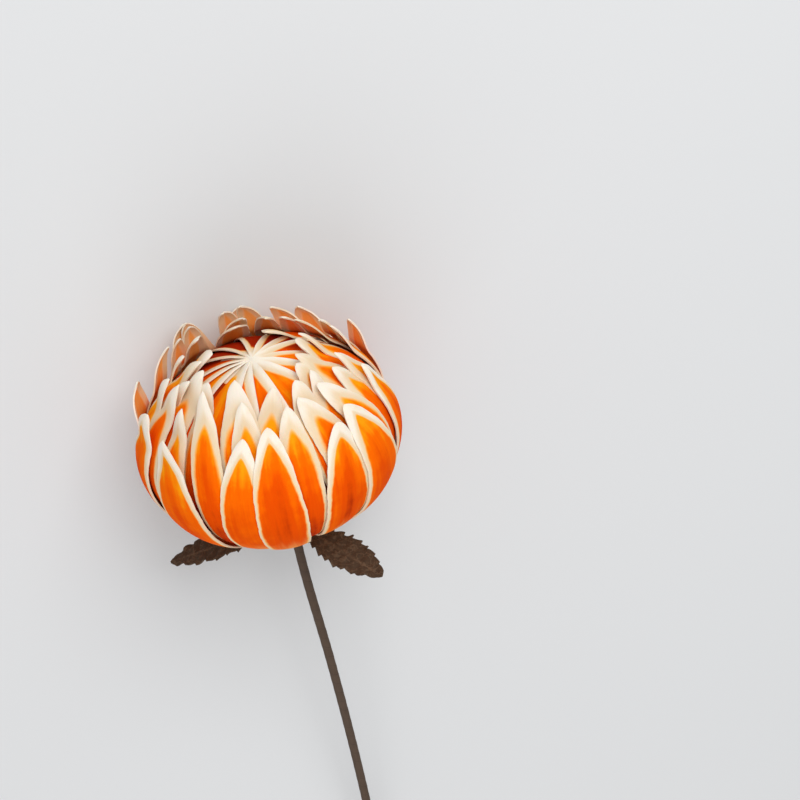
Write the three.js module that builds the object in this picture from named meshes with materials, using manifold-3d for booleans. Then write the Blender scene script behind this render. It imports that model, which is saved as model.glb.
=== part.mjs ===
// An artificial ball peony on a cut stem, lying on its side. Millimetres and degrees, +Z up.
//
// The head is an oblate ball of thin petals in whorls on a core. The stem goes through the collar of a
// calyx of toothed leaves and into the core. The flower lies along Y with its head towards +Y, and rests
// on a small flat spot of its lowest petal and on the cut end of the stem. The origin is the middle of
// that flat spot.
//
// The pieces are made in the head's own frame: its centre is the origin, +Z runs to the apex, and the
// azimuth is counted from +X, which ends as the upper side of the flower, towards +Y.
import * as THREE from "three";
import { mergeVertices } from "three/addons/utils/BufferGeometryUtils.js";
import Module from "manifold-3d";

const wasm = await Module();
wasm.setup();

// ---- Driving dimensions ----
const HEAD_RADIUS = 45;
const HEAD_HALF_HEIGHT = 35;
const REST_DEPTH = 1.2; // how far the lowest petal is pressed flat
const CLEARANCE = 0.3; // between the pieces
const CUT_MARGIN = 5; // how far a cutting tool reaches past what it cuts

const STEM_RADIUS = 1.6;
const STEM_REACH = 255; // from the centre of the head to the cut end
const STEM_BOW = 2; // how far the stem strays from a straight line
const STRAIGHT_LENGTH = 20; // of the stem below the collar, before it bows
const SOCKET_DEPTH = 16; // how far the stem goes into the core

const CORE_RADIUS = 36.5;
const CORE_TOP = 29;
const CORE_BASE = 33;
const CORE_END_LATITUDE = 75; // the core's outline is rounded up to here and flat beyond

const PETAL_THICKNESS = 0.6;
const PETAL_CUP = 0.3; // how far the middle of a petal stands out from its sides
const PETAL_COLUMNS = [-1, -0.6, 0.6, 1]; // where a petal bends across
const PETAL_ROOT_SHARE = 0.27; // width at the root, as a share of the greatest width
const ROOT_TAPER = 1.25; // a higher power keeps a petal narrow for longer
const BEND_START = 0.45; // share of a petal's length from which its tip bends aside
const TIP_HALF_WIDTH = 0.35;
const ROOT_SINK = 1.4; // how deep a root goes into the core
const ROOT_RISE = 0.25; // share of a petal's length over which it climbs out of the core
const SUBLAYER_STEP = 0.8; // each second petal of a whorl lies this much deeper

// Latitudes run from -90 at the stem to 90 at the apex. A depth is measured inwards from the ball. The
// widest place of a petal and the rows at which it bends are shares of its length.
const WHORLS = [
  {
    count: 13, seed: 320477647, phase: -54, azimuthJitter: 12, root: -80, tip: 38, tipJitter: 6, bend: 6.5,
    halfWidth: 8.2, widest: 0.58, tipPower: 0.6, depth: 0, tipDepth: -1.2, opening: 6,
    rows: [0, 0.12, 0.26, 0.4, 0.545, 0.71, 0.87, 1],
  },
  {
    count: 18, seed: 2089450248, phase: -33, azimuthJitter: 8, root: -68, tip: 54.5, tipJitter: 7, bend: 7,
    halfWidth: 6.6, widest: 0.67, tipPower: 0.66, depth: 1.8, tipDepth: 0.2, opening: 5,
    rows: [0, 0.14, 0.3, 0.5, 0.7, 0.87, 1],
  },
  {
    count: 16, seed: 488773161, phase: -19, azimuthJitter: 10, root: -42, tip: 64, tipJitter: 6, bend: 5.5,
    halfWidth: 6.9, widest: 0.67, tipPower: 0.64, depth: 3.6, tipDepth: 0.6, opening: 2.5,
    rows: [0, 0.2, 0.45, 0.7, 0.87, 1],
  },
  {
    count: 6, arc: 302, seed: 4737158, phase: 51, azimuthJitter: 13, root: 12, tip: 71, tipJitter: 6, bend: 2,
    halfWidth: 6.2, widest: 0.62, tipPower: 0.6, depth: 5, tipDepth: 1.6, sublayerStep: 0, opening: 1,
    rows: [0, 0.2, 0.45, 0.7, 0.87, 1],
  },
];
const LIFT_START = 14; // how far short of its tip a petal starts to lift
const RESTING_PETAL = 8; // this petal of the outermost whorl lies right under the head
const RESTING_TIP = 35; // the latitude that it reaches, at which two of its rows are pressed flat
const OPEN_AZIMUTH = -160; // the side on which the tips stand out, each whorl's by its opening
const OPEN_LIFT_START = 10; // how much sooner the petals lift on that side
const OPEN_FOCUS = 1.5; // a higher power keeps the open side narrower
const WIDTH_JITTER = 0.18;

const RAYS = { count: 15, seed: 5000011, root: 20, tip: 86, rise: 0.5, sink: 0.5, riseShare: 0.2, lean: 5 };

const LEAF_THICKNESS = 0.7;
const LEAF_TEETH = 10;
const TOOTH_DEPTH = 0.2; // as a share of the half width
const TOOTH_RISE = 0.35; // from a tooth's point to its place in the row, in tooth steps
const TOOTH_FALL = 0.15; // and on to the notch behind it
const TOOTH_SWEEP = 0.55; // how far a tooth leans to the tip, in tooth steps
const LEAF_KEEL = 1; // how far the rib lies below the edges
const LEAF_ROOT_HALF_WIDTH = 1.1;
const LEAF_ROOT_SINK = 1; // from the face of the stem to where a leaf starts inside the collar
const LEAF_WIDEST_POWER = 1.25; // a higher power brings the widest place nearer to the tip
const LEAF_FULLNESS = 0.7; // a lower power makes a fuller leaf
const LEAF_DROOP_POWER = 0.8; // below 1, a leaf hangs back most near its root
const LEAF_START_SHARE = 0.8; // how far down the collar the leaves leave it
const COLLAR_RADIUS = 5.2;
const COLLAR_HEIGHT = 6;
const COLLAR_WIDEST_SHARE = 0.6; // of its height
const COLLAR_WALL = 1; // at its lower end
// The droop is how far the tip of a leaf hangs back along the stem.
const LEAVES = [
  { azimuth: 37, length: 39, halfWidth: 7.6, droop: 7 },
  { azimuth: 122, length: 38, halfWidth: 7.4, droop: 10 },
  { azimuth: -168, length: 37, halfWidth: 7.2, droop: 22 },
  { azimuth: -94, length: 42, halfWidth: 8.2, droop: 7.5 },
];

// ---- Helpers ----
const radians = THREE.MathUtils.degToRad;
const { lerp, smoothstep } = THREE.MathUtils;

/** A repeatable stream of numbers from 0 to 1. */
function seededRandom(seed) {
  let state = seed;
  return () => {
    state = (state * 48271) % 2147483647;
    return state / 2147483647;
  };
}

/** count evenly spaced numbers from first to last. */
function spread(first, last, count) {
  return Array.from({ length: count }, (_, i) => lerp(first, last, i / (count - 1)));
}

/** A closed thin blade, split alike on both faces. pointAt(u, s, side) gives the point at u across, from
 *  -1 to 1, and s along, from 0 to 1, on the inner face for side 0 and on the outer one for side 1. */
function bladeGeometry(columns, rows, pointAt) {
  const position = [];
  for (const side of [0, 1]) {
    for (const s of rows) {
      for (const u of columns) position.push(...pointAt(u, s, side).toArray());
    }
  }
  const index = [];
  const corner = (side, i, j) => (side * rows.length + j) * columns.length + i;
  const quad = (a, b, c, d) => index.push(a, b, c, a, c, d);
  const lastColumn = columns.length - 1;
  const lastRow = rows.length - 1;
  for (let j = 0; j < lastRow; j++) {
    for (let i = 0; i < lastColumn; i++) {
      quad(corner(1, i, j), corner(1, i + 1, j), corner(1, i + 1, j + 1), corner(1, i, j + 1));
      quad(corner(0, i, j), corner(0, i, j + 1), corner(0, i + 1, j + 1), corner(0, i + 1, j));
    }
    quad(corner(1, 0, j), corner(1, 0, j + 1), corner(0, 0, j + 1), corner(0, 0, j));
    const edge = lastColumn;
    quad(corner(0, edge, j), corner(0, edge, j + 1), corner(1, edge, j + 1), corner(1, edge, j));
  }
  for (let i = 0; i < lastColumn; i++) {
    quad(corner(0, i, 0), corner(0, i + 1, 0), corner(1, i + 1, 0), corner(1, i, 0));
    const end = lastRow;
    quad(corner(1, i, end), corner(1, i + 1, end), corner(0, i + 1, end), corner(0, i, end));
  }
  const geometry = new THREE.BufferGeometry();
  geometry.setAttribute("position", new THREE.Float32BufferAttribute(position, 3));
  geometry.setIndex(index);
  return geometry;
}

/** The solid inside a closed geometry. */
function solidOf(geometry) {
  const bare = geometry.clone();
  bare.deleteAttribute("normal");
  bare.deleteAttribute("uv");
  const merged = mergeVertices(bare, 1e-4);
  const vertProperties = new Float32Array(merged.attributes.position.array);
  const triVerts = new Uint32Array(merged.index.array);
  return new wasm.Manifold(new wasm.Mesh({ numProp: 3, vertProperties, triVerts }));
}

/** The geometry of a solid's surface. */
function geometryOf(solid) {
  const mesh = solid.getMesh();
  const geometry = new THREE.BufferGeometry();
  geometry.setAttribute("position", new THREE.BufferAttribute(mesh.vertProperties, 3));
  geometry.setIndex(new THREE.BufferAttribute(mesh.triVerts, 1));
  geometry.computeVertexNormals();
  return geometry;
}

/** All the given geometries fused into one solid. */
function fuse(geometries) {
  return geometries.map(solidOf).reduce((whole, solid) => whole.add(solid));
}

/** An upright round solid of z and radius pairs, listed from the bottom, with its middle on the axis. */
function turned(outline, segments) {
  const points = outline.map(([radius, z]) => new THREE.Vector2(radius, z));
  return new THREE.LatheGeometry(points, segments).rotateX(Math.PI / 2);
}

// ---- How the flower lies ----
/** The height of the ball's centre when the head is pressed on the surface with its axis at this tilt. */
function centreHeight(tilt) {
  return Math.hypot(HEAD_RADIUS * Math.cos(tilt), HEAD_HALF_HEIGHT * Math.sin(tilt)) - REST_DEPTH;
}

/** The tilt of the axis at which the cut end of the stem touches the surface too. */
function restingTilt() {
  let tilt = 0;
  for (let step = 0; step < 8; step++) {
    tilt = Math.asin((centreHeight(tilt) - STEM_RADIUS * Math.cos(tilt)) / STEM_REACH);
  }
  return tilt;
}

const TILT = restingTilt();
const CENTRE_HEIGHT = centreHeight(TILT);
const UP = new THREE.Vector3(Math.cos(TILT), 0, Math.sin(TILT));
const REST_OFFSET = ((HEAD_RADIUS ** 2 - HEAD_HALF_HEIGHT ** 2) * Math.sin(TILT) * Math.cos(TILT))
  / (CENTRE_HEIGHT + REST_DEPTH); // from under the centre to the flat spot, along Y

// ---- Bloom ----
/** A point at this latitude and azimuth in degrees, at this depth inside the ball. */
function onBall(latitude, azimuth, depth) {
  const flat = (HEAD_RADIUS - depth) * Math.cos(radians(latitude));
  const height = (HEAD_HALF_HEIGHT - depth) * Math.sin(radians(latitude));
  return new THREE.Vector3(flat * Math.cos(radians(azimuth)), flat * Math.sin(radians(azimuth)), height);
}

/** A point on the core, raised by this much. */
function onCore(latitude, azimuth, raise) {
  const halfHeight = latitude > 0 ? CORE_TOP : CORE_BASE;
  const flat = (CORE_RADIUS + raise) * Math.cos(radians(latitude));
  const height = (halfHeight + raise) * Math.sin(radians(latitude));
  return new THREE.Vector3(flat * Math.cos(radians(azimuth)), flat * Math.sin(radians(azimuth)), height);
}

/** Keeps a point at least this high above the surface that the flower lies on. */
function pressFlat(point, height) {
  const shortfall = height - CENTRE_HEIGHT - point.dot(UP);
  return shortfall > 0 ? point.addScaledVector(UP, shortfall) : point;
}

/** Where a whorl's petals stand, how far they reach and how they lean. */
function petalsOf(whorl, restingPetal) {
  const random = seededRandom(whorl.seed);
  const swing = (range) => (2 * random() - 1) * range;
  return Array.from({ length: whorl.count }, (_, i) => {
    const petal = {
      azimuth: whorl.phase + ((whorl.arc ?? 360) / whorl.count) * i + swing(whorl.azimuthJitter),
      tip: whorl.tip + swing(whorl.tipJitter),
      halfWidth: whorl.halfWidth * (1 + swing(WIDTH_JITTER)),
      bend: swing(whorl.bend),
      sunk: (i % 2) * (whorl.sublayerStep ?? SUBLAYER_STEP),
    };
    return i === restingPetal ? { ...petal, azimuth: 180, tip: RESTING_TIP } : petal;
  });
}

/** Half the width of a petal at s along it, as a share of its greatest half width. */
function petalOutline(s, widest, tipPower) {
  if (s < widest) {
    return lerp(PETAL_ROOT_SHARE, 1, Math.sin((Math.PI / 2) * (s / widest)) ** ROOT_TAPER);
  }
  return (1 - ((s - widest) / (1 - widest)) ** 2) ** tipPower;
}

/** One petal of a whorl: it climbs out of the core, follows the ball and lifts at its tip. */
function petalGeometry(whorl, petal) {
  const opened = ((1 + Math.cos(radians(petal.azimuth - OPEN_AZIMUTH))) / 2) ** OPEN_FOCUS;
  const liftStart = petal.tip - LIFT_START - OPEN_LIFT_START * opened;
  const tipDepth = whorl.tipDepth - whorl.opening * opened;
  const pointAt = (u, s, side) => {
    const middle = lerp(whorl.root, petal.tip, s);
    const share = petalOutline(s, whorl.widest, whorl.tipPower);
    const halfWidth = Math.max(TIP_HALF_WIDTH, petal.halfWidth * share);
    const girth = HEAD_RADIUS * Math.cos(radians(middle));
    const bent = petal.bend * Math.max(0, (s - BEND_START) / (1 - BEND_START)) ** 2;
    const azimuth = petal.azimuth + THREE.MathUtils.radToDeg((u * halfWidth + bent) / girth);
    const lift = smoothstep(middle, liftStart, petal.tip);
    const depth = lerp(whorl.depth, tipDepth, lift) + petal.sunk + PETAL_CUP * u * u;
    const inwards = side === 0 ? PETAL_THICKNESS : 0;
    const root = onCore(middle, azimuth, -ROOT_SINK - inwards);
    const point = root.lerp(onBall(middle, azimuth, depth + inwards), smoothstep(s, 0, ROOT_RISE));
    return pressFlat(point, inwards);
  };
  return bladeGeometry(PETAL_COLUMNS, whorl.rows, pointAt);
}

/** One ray of the star at the apex: a slim petal that lies on the core. */
function rayGeometry(azimuth, lean) {
  const pointAt = (u, s, side) => {
    const latitude = lerp(RAYS.root, RAYS.tip, s);
    const halfSector = 180 / RAYS.count;
    const crest = lerp(-RAYS.sink, RAYS.rise, smoothstep(s, 0, RAYS.riseShare));
    const raise = side === 1 ? crest - RAYS.sink * u * u : -ROOT_SINK;
    return onCore(latitude, azimuth + lean * s + u * halfSector, raise);
  };
  return bladeGeometry([-1, 0, 1], spread(0, 1, 5), pointAt);
}

/** The ball of petals: a core with a socket for the stem, four whorls and a star of rays. */
function bloomGeometry() {
  const profile = [[0, -CORE_BASE]];
  for (const latitude of spread(-CORE_END_LATITUDE, CORE_END_LATITUDE, 9)) {
    const point = onCore(latitude, 0, 0);
    profile.push([point.x, point.z]);
  }
  profile.push([0, CORE_TOP]);
  const pieces = [turned(profile, 20)];
  WHORLS.forEach((whorl, level) => {
    const petals = petalsOf(whorl, level === 0 ? RESTING_PETAL : -1);
    pieces.push(...petals.map((petal) => petalGeometry(whorl, petal)));
  });
  const random = seededRandom(RAYS.seed);
  for (let i = 0; i < RAYS.count; i++) {
    pieces.push(rayGeometry((360 / RAYS.count) * i, RAYS.lean * (2 * random() - 1)));
  }
  const socketRadius = STEM_RADIUS + CLEARANCE;
  const socketEnd = SOCKET_DEPTH - CORE_BASE;
  const floor = -HEAD_HALF_HEIGHT - CUT_MARGIN;
  const socket = turned([[0, floor], [socketRadius, floor], [socketRadius, socketEnd], [0, socketEnd]], 12);
  return geometryOf(fuse(pieces).subtract(solidOf(socket)));
}

// ---- Calyx ----
const COLLAR_TOP = -CORE_BASE - CLEARANCE;
const LEAF_START = COLLAR_TOP - LEAF_START_SHARE * COLLAR_HEIGHT;

/** A leaf: a keeled blade with teeth, which leaves the collar and hangs back along the stem. */
function leafGeometry(leaf) {
  const step = 1 / (LEAF_TEETH + 1);
  const rows = [0];
  for (let tooth = 1; tooth <= LEAF_TEETH; tooth++) {
    rows.push(step * (tooth - TOOTH_RISE), step * (tooth + TOOTH_FALL));
  }
  rows.push(1);
  const envelope = (s) => leaf.halfWidth * Math.sin(Math.PI * s ** LEAF_WIDEST_POWER) ** LEAF_FULLNESS;
  const pointAt = (u, s, side) => {
    const row = rows.indexOf(s);
    const isTooth = row % 2 === 1 && row < rows.length - 1;
    const cut = isTooth || row === 0 ? 1 : 1 - TOOTH_DEPTH;
    const halfWidth = Math.max(lerp(LEAF_ROOT_HALF_WIDTH, TIP_HALF_WIDTH, s), envelope(s) * cut);
    const along = s + (isTooth ? Math.abs(u) * TOOTH_SWEEP * step : 0);
    const reach = Math.sqrt(leaf.length ** 2 - leaf.droop ** 2) * along;
    const keel = LEAF_KEEL * Math.abs(u) * Math.sin(Math.PI * s);
    const height = LEAF_START - leaf.droop * along ** LEAF_DROOP_POWER + keel;
    const face = side === 0 ? LEAF_THICKNESS : 0;
    return new THREE.Vector3(STEM_RADIUS + LEAF_ROOT_SINK + reach, u * halfWidth, height + face);
  };
  return bladeGeometry([-1, 0, 1], rows, pointAt).rotateZ(radians(leaf.azimuth));
}

/** The collar round the stem with its toothed leaves. */
function calyxGeometry() {
  const bore = STEM_RADIUS + CLEARANCE;
  const bottom = COLLAR_TOP - COLLAR_HEIGHT;
  const shoulder = bottom + COLLAR_WIDEST_SHARE * COLLAR_HEIGHT;
  const collar = turned([
    [0, bottom], [STEM_RADIUS + COLLAR_WALL, bottom], [COLLAR_RADIUS, shoulder],
    [COLLAR_RADIUS, COLLAR_TOP], [0, COLLAR_TOP],
  ], 16);
  const [from, to] = [bottom - CUT_MARGIN, COLLAR_TOP + CUT_MARGIN];
  const hole = turned([[0, from], [bore, from], [bore, to], [0, to]], 12);
  return geometryOf(fuse([collar, ...LEAVES.map(leafGeometry)]).subtract(solidOf(hole)));
}

// ---- Stem ----
/** The stem, from inside the core to its cut end, with a slight sideways bow below the collar. */
function stemGeometry() {
  const top = SOCKET_DEPTH - CORE_BASE - CLEARANCE;
  const path = new THREE.CatmullRomCurve3([
    new THREE.Vector3(0, 0, top),
    new THREE.Vector3(0, 0, COLLAR_TOP),
    new THREE.Vector3(0, 0, COLLAR_TOP - STRAIGHT_LENGTH),
    new THREE.Vector3(0, STEM_BOW, (COLLAR_TOP - STEM_REACH) / 2),
    new THREE.Vector3(0, 0, -STEM_REACH),
  ], false, "centripetal");
  const section = new THREE.Shape().absarc(0, 0, STEM_RADIUS, 0, 2 * Math.PI);
  const tube = { curveSegments: 5, steps: 16, bevelEnabled: false, extrudePath: path };
  return new THREE.ExtrudeGeometry(section, tube);
}

// ---- Assembly ----
const flower = new THREE.Group();
const across = new THREE.Vector3(1, 0, 0);
const axis = new THREE.Vector3(0, Math.cos(TILT), Math.sin(TILT));
const upper = new THREE.Vector3(0, -Math.sin(TILT), Math.cos(TILT));
flower.quaternion.setFromRotationMatrix(new THREE.Matrix4().makeBasis(upper, across, axis));
flower.position.set(0, -REST_OFFSET, CENTRE_HEIGHT);

function addPiece(name, geometry, color, roughness) {
  const piece = new THREE.Mesh(geometry, new THREE.MeshStandardMaterial({ color, roughness, metalness: 0 }));
  piece.name = name;
  flower.add(piece);
}

addPiece("bloom", bloomGeometry(), 0xf06a10, 0.8);
addPiece("calyx", calyxGeometry(), 0x4a3828, 0.85);
addPiece("stem", stemGeometry(), 0x54402f, 0.8);

export default flower;
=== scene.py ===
"""An artificial ball peony on a cut stem, lying on its side: the finished petals, leaves and stem.

The head is an oblate ball of thin sheet petals in whorls on a core. Every petal, ray and leaf is cut from
the same flat sheet, bent to its place by a formula and given its thickness. Lengths are metres and angles
are degrees. Points are worked out in the head's own frame, whose origin is the middle of the ball and
whose +Z runs to the apex, and then laid down in the part's frame.
"""

import logging
import math
from dataclasses import dataclass, field, replace
from enum import Enum

import bpy
import numpy as np
from mathutils import Matrix, Vector

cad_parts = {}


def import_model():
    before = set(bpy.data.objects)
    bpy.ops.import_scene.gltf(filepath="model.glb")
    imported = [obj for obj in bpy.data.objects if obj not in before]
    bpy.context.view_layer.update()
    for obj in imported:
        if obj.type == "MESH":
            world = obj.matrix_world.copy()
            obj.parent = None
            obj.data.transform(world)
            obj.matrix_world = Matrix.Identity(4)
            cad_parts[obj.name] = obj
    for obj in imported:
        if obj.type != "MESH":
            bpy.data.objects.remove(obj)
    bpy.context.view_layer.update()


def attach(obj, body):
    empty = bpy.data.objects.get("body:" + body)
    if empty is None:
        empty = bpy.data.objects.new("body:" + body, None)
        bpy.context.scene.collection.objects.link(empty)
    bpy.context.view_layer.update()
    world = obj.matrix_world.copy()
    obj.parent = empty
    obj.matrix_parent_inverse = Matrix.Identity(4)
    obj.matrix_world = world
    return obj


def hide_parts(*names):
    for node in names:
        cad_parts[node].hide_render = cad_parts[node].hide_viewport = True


LOG = logging.getLogger("peony")
MM = 0.001
CM = 10 * MM
SHARP_ANGLE = math.radians(40)  # past which an edge stays sharp
Colour = tuple[float, float, float]
Span = tuple[float, float]
Array = np.ndarray
Piece = bpy.types.Object
Material = bpy.types.Material
Socket = bpy.types.NodeSocket


# ---- Numbers ----
class Stream:
    """A repeatable stream of numbers."""

    def __init__(self, seed: int) -> None:
        """Starts the stream.

        Args:
            seed: A whole number above zero.
        """
        self.state = seed

    def share(self) -> float:
        """Returns the next number from 0 to 1."""
        self.state = self.state * 48271 % 2147483647
        return self.state / 2147483647

    def swing(self, reach: float) -> float:
        """Returns the next number from -reach to reach."""
        return (2 * self.share() - 1) * reach


def blend(low: float, high: float, share: Array) -> Array:
    """Returns the number that lies this share of the way from low to high."""
    return low + (high - low) * share


def ease(value: Array, start: float, end: float) -> Array:
    """Returns 0 before start and 1 after end, with a smooth step between."""
    share = np.clip((value - start) / (end - start), 0, 1)
    return share * share * (3 - 2 * share)


# ---- How the flower lies ----
@dataclass(frozen=True)
class Ball:
    """The ball of the head, its core, and how the flower lies on the surface."""

    radius: float = 45 * MM
    half_height: float = 35 * MM
    core_radius: float = 36.5 * MM
    core_top: float = 29 * MM
    core_base: float = 33 * MM
    rest_depth: float = 1.2 * MM
    stem_radius: float = 1.6 * MM
    stem_reach: float = 255 * MM

    def centre_height(self, tilt: float) -> float:
        """Returns how high the middle of the ball is when its axis has this tilt, in radians."""
        reach = math.hypot(self.radius * math.cos(tilt), self.half_height * math.sin(tilt))
        return reach - self.rest_depth

    @property
    def tilt(self) -> float:
        """The tilt of the axis, in radians, at which the cut end of the stem touches the surface."""
        tilt = 0.0
        for _ in range(8):
            drop = self.centre_height(tilt) - self.stem_radius * math.cos(tilt)
            tilt = math.asin(drop / self.stem_reach)
        return tilt

    @property
    def up(self) -> Array:
        """The part's +Z in the head's frame."""
        return np.array((math.cos(self.tilt), 0.0, math.sin(self.tilt)))

    @property
    def to_part(self) -> Matrix:
        """The step from the head's frame to the part's frame."""
        tilt = self.tilt
        height = self.centre_height(tilt)
        stretch = self.radius**2 - self.half_height**2
        offset = stretch * math.sin(tilt) * math.cos(tilt) / (height + self.rest_depth)
        rows = ((0, 1, 0), (-math.sin(tilt), 0, math.cos(tilt)), (math.cos(tilt), 0, math.sin(tilt)))
        return Matrix.Translation((0, -offset, height)) @ Matrix(rows).to_4x4()

    def lay_down(self, points: Array) -> Array:
        """Takes points from the head's frame to the part's frame."""
        matrix = np.array(self.to_part)
        return points @ matrix[:3, :3].T + matrix[:3, 3]

    def press(self, points: Array, height: float) -> Array:
        """Keeps points of the head's frame above the surface that the flower lies on.

        Args:
            points: One point a row.
            height: How far above the surface they stay.

        Returns:
            The points, with those that were too low lifted.
        """
        shortfall = height - self.centre_height(self.tilt) - points @ self.up
        return points + np.outer(np.clip(shortfall, 0, None), self.up)

    def shell(self, flat: float, half_height: float, latitude: Array, azimuth: Array) -> Array:
        """Returns points of an oblate ball with this radius and half height, one a row."""
        ring = flat * np.cos(np.radians(latitude))
        turn = np.radians(azimuth)
        height = half_height * np.sin(np.radians(latitude))
        return np.stack((ring * np.cos(turn), ring * np.sin(turn), height), axis=-1)

    def on_ball(self, latitude: Array, azimuth: Array, depth: Array) -> Array:
        """Returns points at this depth inside the ball."""
        return self.shell(self.radius - depth, self.half_height - depth, latitude, azimuth)

    def on_core(self, latitude: Array, azimuth: Array, rise: Array) -> Array:
        """Returns points at this rise above the core."""
        half_height = np.where(latitude > 0, self.core_top, self.core_base)
        return self.shell(self.core_radius + rise, half_height + rise, latitude, azimuth)


# ---- Mesh work ----
def select(*pieces: Piece) -> None:
    """Selects these pieces and no others, with the first one active."""
    bpy.ops.object.select_all(action="DESELECT")
    for piece in pieces:
        piece.select_set(True)
    if pieces:
        bpy.context.view_layer.objects.active = pieces[0]


def read_points(mesh: bpy.types.Mesh) -> Array:
    """Returns the places of a mesh's vertices, one a row."""
    points = np.empty(len(mesh.vertices) * 3)
    mesh.vertices.foreach_get("co", points)
    return points.reshape(-1, 3)


def write_points(mesh: bpy.types.Mesh, points: Array) -> None:
    """Puts a mesh's vertices at these places."""
    mesh.vertices.foreach_set("co", points.astype(np.float32).ravel())


def write_mark(mesh: bpy.types.Mesh, name: str, values: Array) -> None:
    """Keeps a value for each vertex as an attribute of this name."""
    values = np.broadcast_to(values, len(mesh.vertices)).astype(np.float32)
    mesh.attributes.new(name, "FLOAT", "POINT").data.foreach_set("value", values)


def unroll(mesh: bpy.types.Mesh, across: Array, along: Array) -> None:
    """Writes where each vertex is on the flat piece, in centimetres, as the mesh's UV map."""
    corner = np.empty(len(mesh.loops), dtype=np.int32)
    mesh.loops.foreach_get("vertex_index", corner)
    flat = np.stack((across[corner], along[corner]), axis=-1)
    mesh.uv_layers[0].data.foreach_set("uv", flat.astype(np.float32).ravel())


def finish_mesh(piece: Piece) -> None:
    """Shades a piece smooth, but for its sharp edges."""
    select(piece)
    bpy.ops.object.shade_smooth_by_angle(angle=SHARP_ANGLE)


def join(pieces: list[Piece], name: str) -> Piece:
    """Joins pieces in one.

    Args:
        pieces: The pieces, which are used up.
        name: The name of the new piece.

    Returns:
        The new piece.
    """
    select(*pieces)
    bpy.ops.object.join()
    joined = bpy.context.view_layer.objects.active
    joined.name = name
    joined.data.name = name
    return joined


@dataclass
class Sheet:
    """A flat sheet from which thin pieces are cut. It is modelled once, and each piece is a copy of it."""

    columns: int
    rows: int
    blank: Piece = field(init=False)
    u: Array = field(init=False)
    s: Array = field(init=False)

    def __post_init__(self) -> None:
        """Models the sheet, with u across it from -1 to 1 and s along it from 0 to 1."""
        select()
        bpy.ops.mesh.primitive_grid_add(x_subdivisions=self.columns, y_subdivisions=self.rows, size=2)
        self.blank = bpy.context.active_object
        self.blank.name = "blank"
        flat = read_points(self.blank.data)
        self.u = flat[:, 0]
        self.s = (flat[:, 1] + 1) / 2

    def cut(
        self, points: Array, thickness: float, across: Array, along: Array,
        marks: dict[str, Array], finishes: list[Material],
    ) -> Piece:
        """Cuts one piece and bends it to its place.

        Args:
            points: Where each point of the sheet's outer face goes, in the part's frame.
            thickness: The thickness of the sheet, which is added inwards.
            across: How far each point is from the middle line of the flat piece.
            along: How far each point is along the flat piece.
            marks: A value for each point, by the name of its attribute.
            finishes: The finish of the outer face, and of the inner one if it differs.

        Returns:
            The new piece.
        """
        piece = self.blank.copy()
        piece.data = self.blank.data.copy()
        bpy.context.collection.objects.link(piece)
        mesh = piece.data
        write_points(mesh, points)
        unroll(mesh, across / CM, along / CM)
        for name, values in marks.items():
            write_mark(mesh, name, values)
        for finish in finishes:
            mesh.materials.append(finish)
        select(piece)
        bpy.ops.object.modifier_add(type="SOLIDIFY")
        wall = piece.modifiers[-1]
        wall.thickness = thickness
        wall.offset = -1
        wall.use_even_offset = True
        wall.material_offset = len(finishes) - 1
        bpy.ops.object.modifier_apply(modifier=wall.name)
        return piece

    def put_away(self) -> None:
        """Removes the blank once all pieces are cut."""
        bpy.data.objects.remove(self.blank, do_unlink=True)


# ---- Shader helpers ----
class Recipe:
    """The nodes of one material or node group."""

    def __init__(self, tree: bpy.types.NodeTree) -> None:
        """Takes the node tree that the recipe writes to."""
        self.tree = tree

    def add(self, kind: str, **settings: object) -> bpy.types.Node:
        """Adds a node.

        Args:
            kind: Its type.
            settings: Its properties and values.

        Returns:
            The node.
        """
        node = self.tree.nodes.new(kind)
        for name, value in settings.items():
            setattr(node, name, value)
        return node

    def feed(self, socket: Socket, value: object) -> None:
        """Links a socket to another one, or sets its value."""
        if isinstance(value, Socket):
            self.tree.links.new(value, socket)
        else:
            socket.default_value = value

    def math(self, operation: str, *values: object) -> Socket:
        """Adds a Math node and returns its result."""
        node = self.add("ShaderNodeMath", operation=operation)
        for socket, value in zip(node.inputs, values):
            self.feed(socket, value)
        return node.outputs[0]

    def step(self, value: object, start: float, end: float) -> Socket:
        """Adds a smooth step from 0 at start to 1 at end, and returns its result."""
        node = self.add("ShaderNodeMapRange", interpolation_type="SMOOTHSTEP")
        for name, given in (("Value", value), ("From Min", start), ("From Max", end)):
            self.feed(node.inputs[name], given)
        return node.outputs["Result"]

    def mix(self, share: object, low: object, high: object, way: str = "MIX") -> Socket:
        """Adds a colour mix and returns its result."""
        node = self.add("ShaderNodeMix", data_type="RGBA", blend_type=way)
        self.feed(node.inputs["Factor"], share)
        for socket, given in ((node.inputs[6], low), (node.inputs[7], high)):
            self.feed(socket, (*given, 1.0) if isinstance(given, tuple) else given)
        return node.outputs[2]

    def mark(self, name: str) -> Socket:
        """Returns the value that an attribute of the mesh holds."""
        return self.add("ShaderNodeAttribute", attribute_name=name).outputs["Fac"]

    def sheet_place(self) -> Socket:
        """Returns the place on the flat sheet, in centimetres."""
        return self.add("ShaderNodeUVMap", uv_map="UVMap").outputs["UV"]

    def bump(self, height: object, strength: float, distance: float) -> Socket:
        """Adds a Bump node and returns its normal."""
        node = self.add("ShaderNodeBump")
        for name, given in (("Height", height), ("Strength", strength), ("Distance", distance)):
            self.feed(node.inputs[name], given)
        return node.outputs["Normal"]

    def group(self, tree: bpy.types.NodeTree, **values: object) -> Socket:
        """Places a node group, feeds its inputs and returns its output."""
        node = self.add("ShaderNodeGroup", node_tree=tree)
        for name, given in values.items():
            self.feed(node.inputs[name], given)
        return node.outputs[0]


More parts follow.
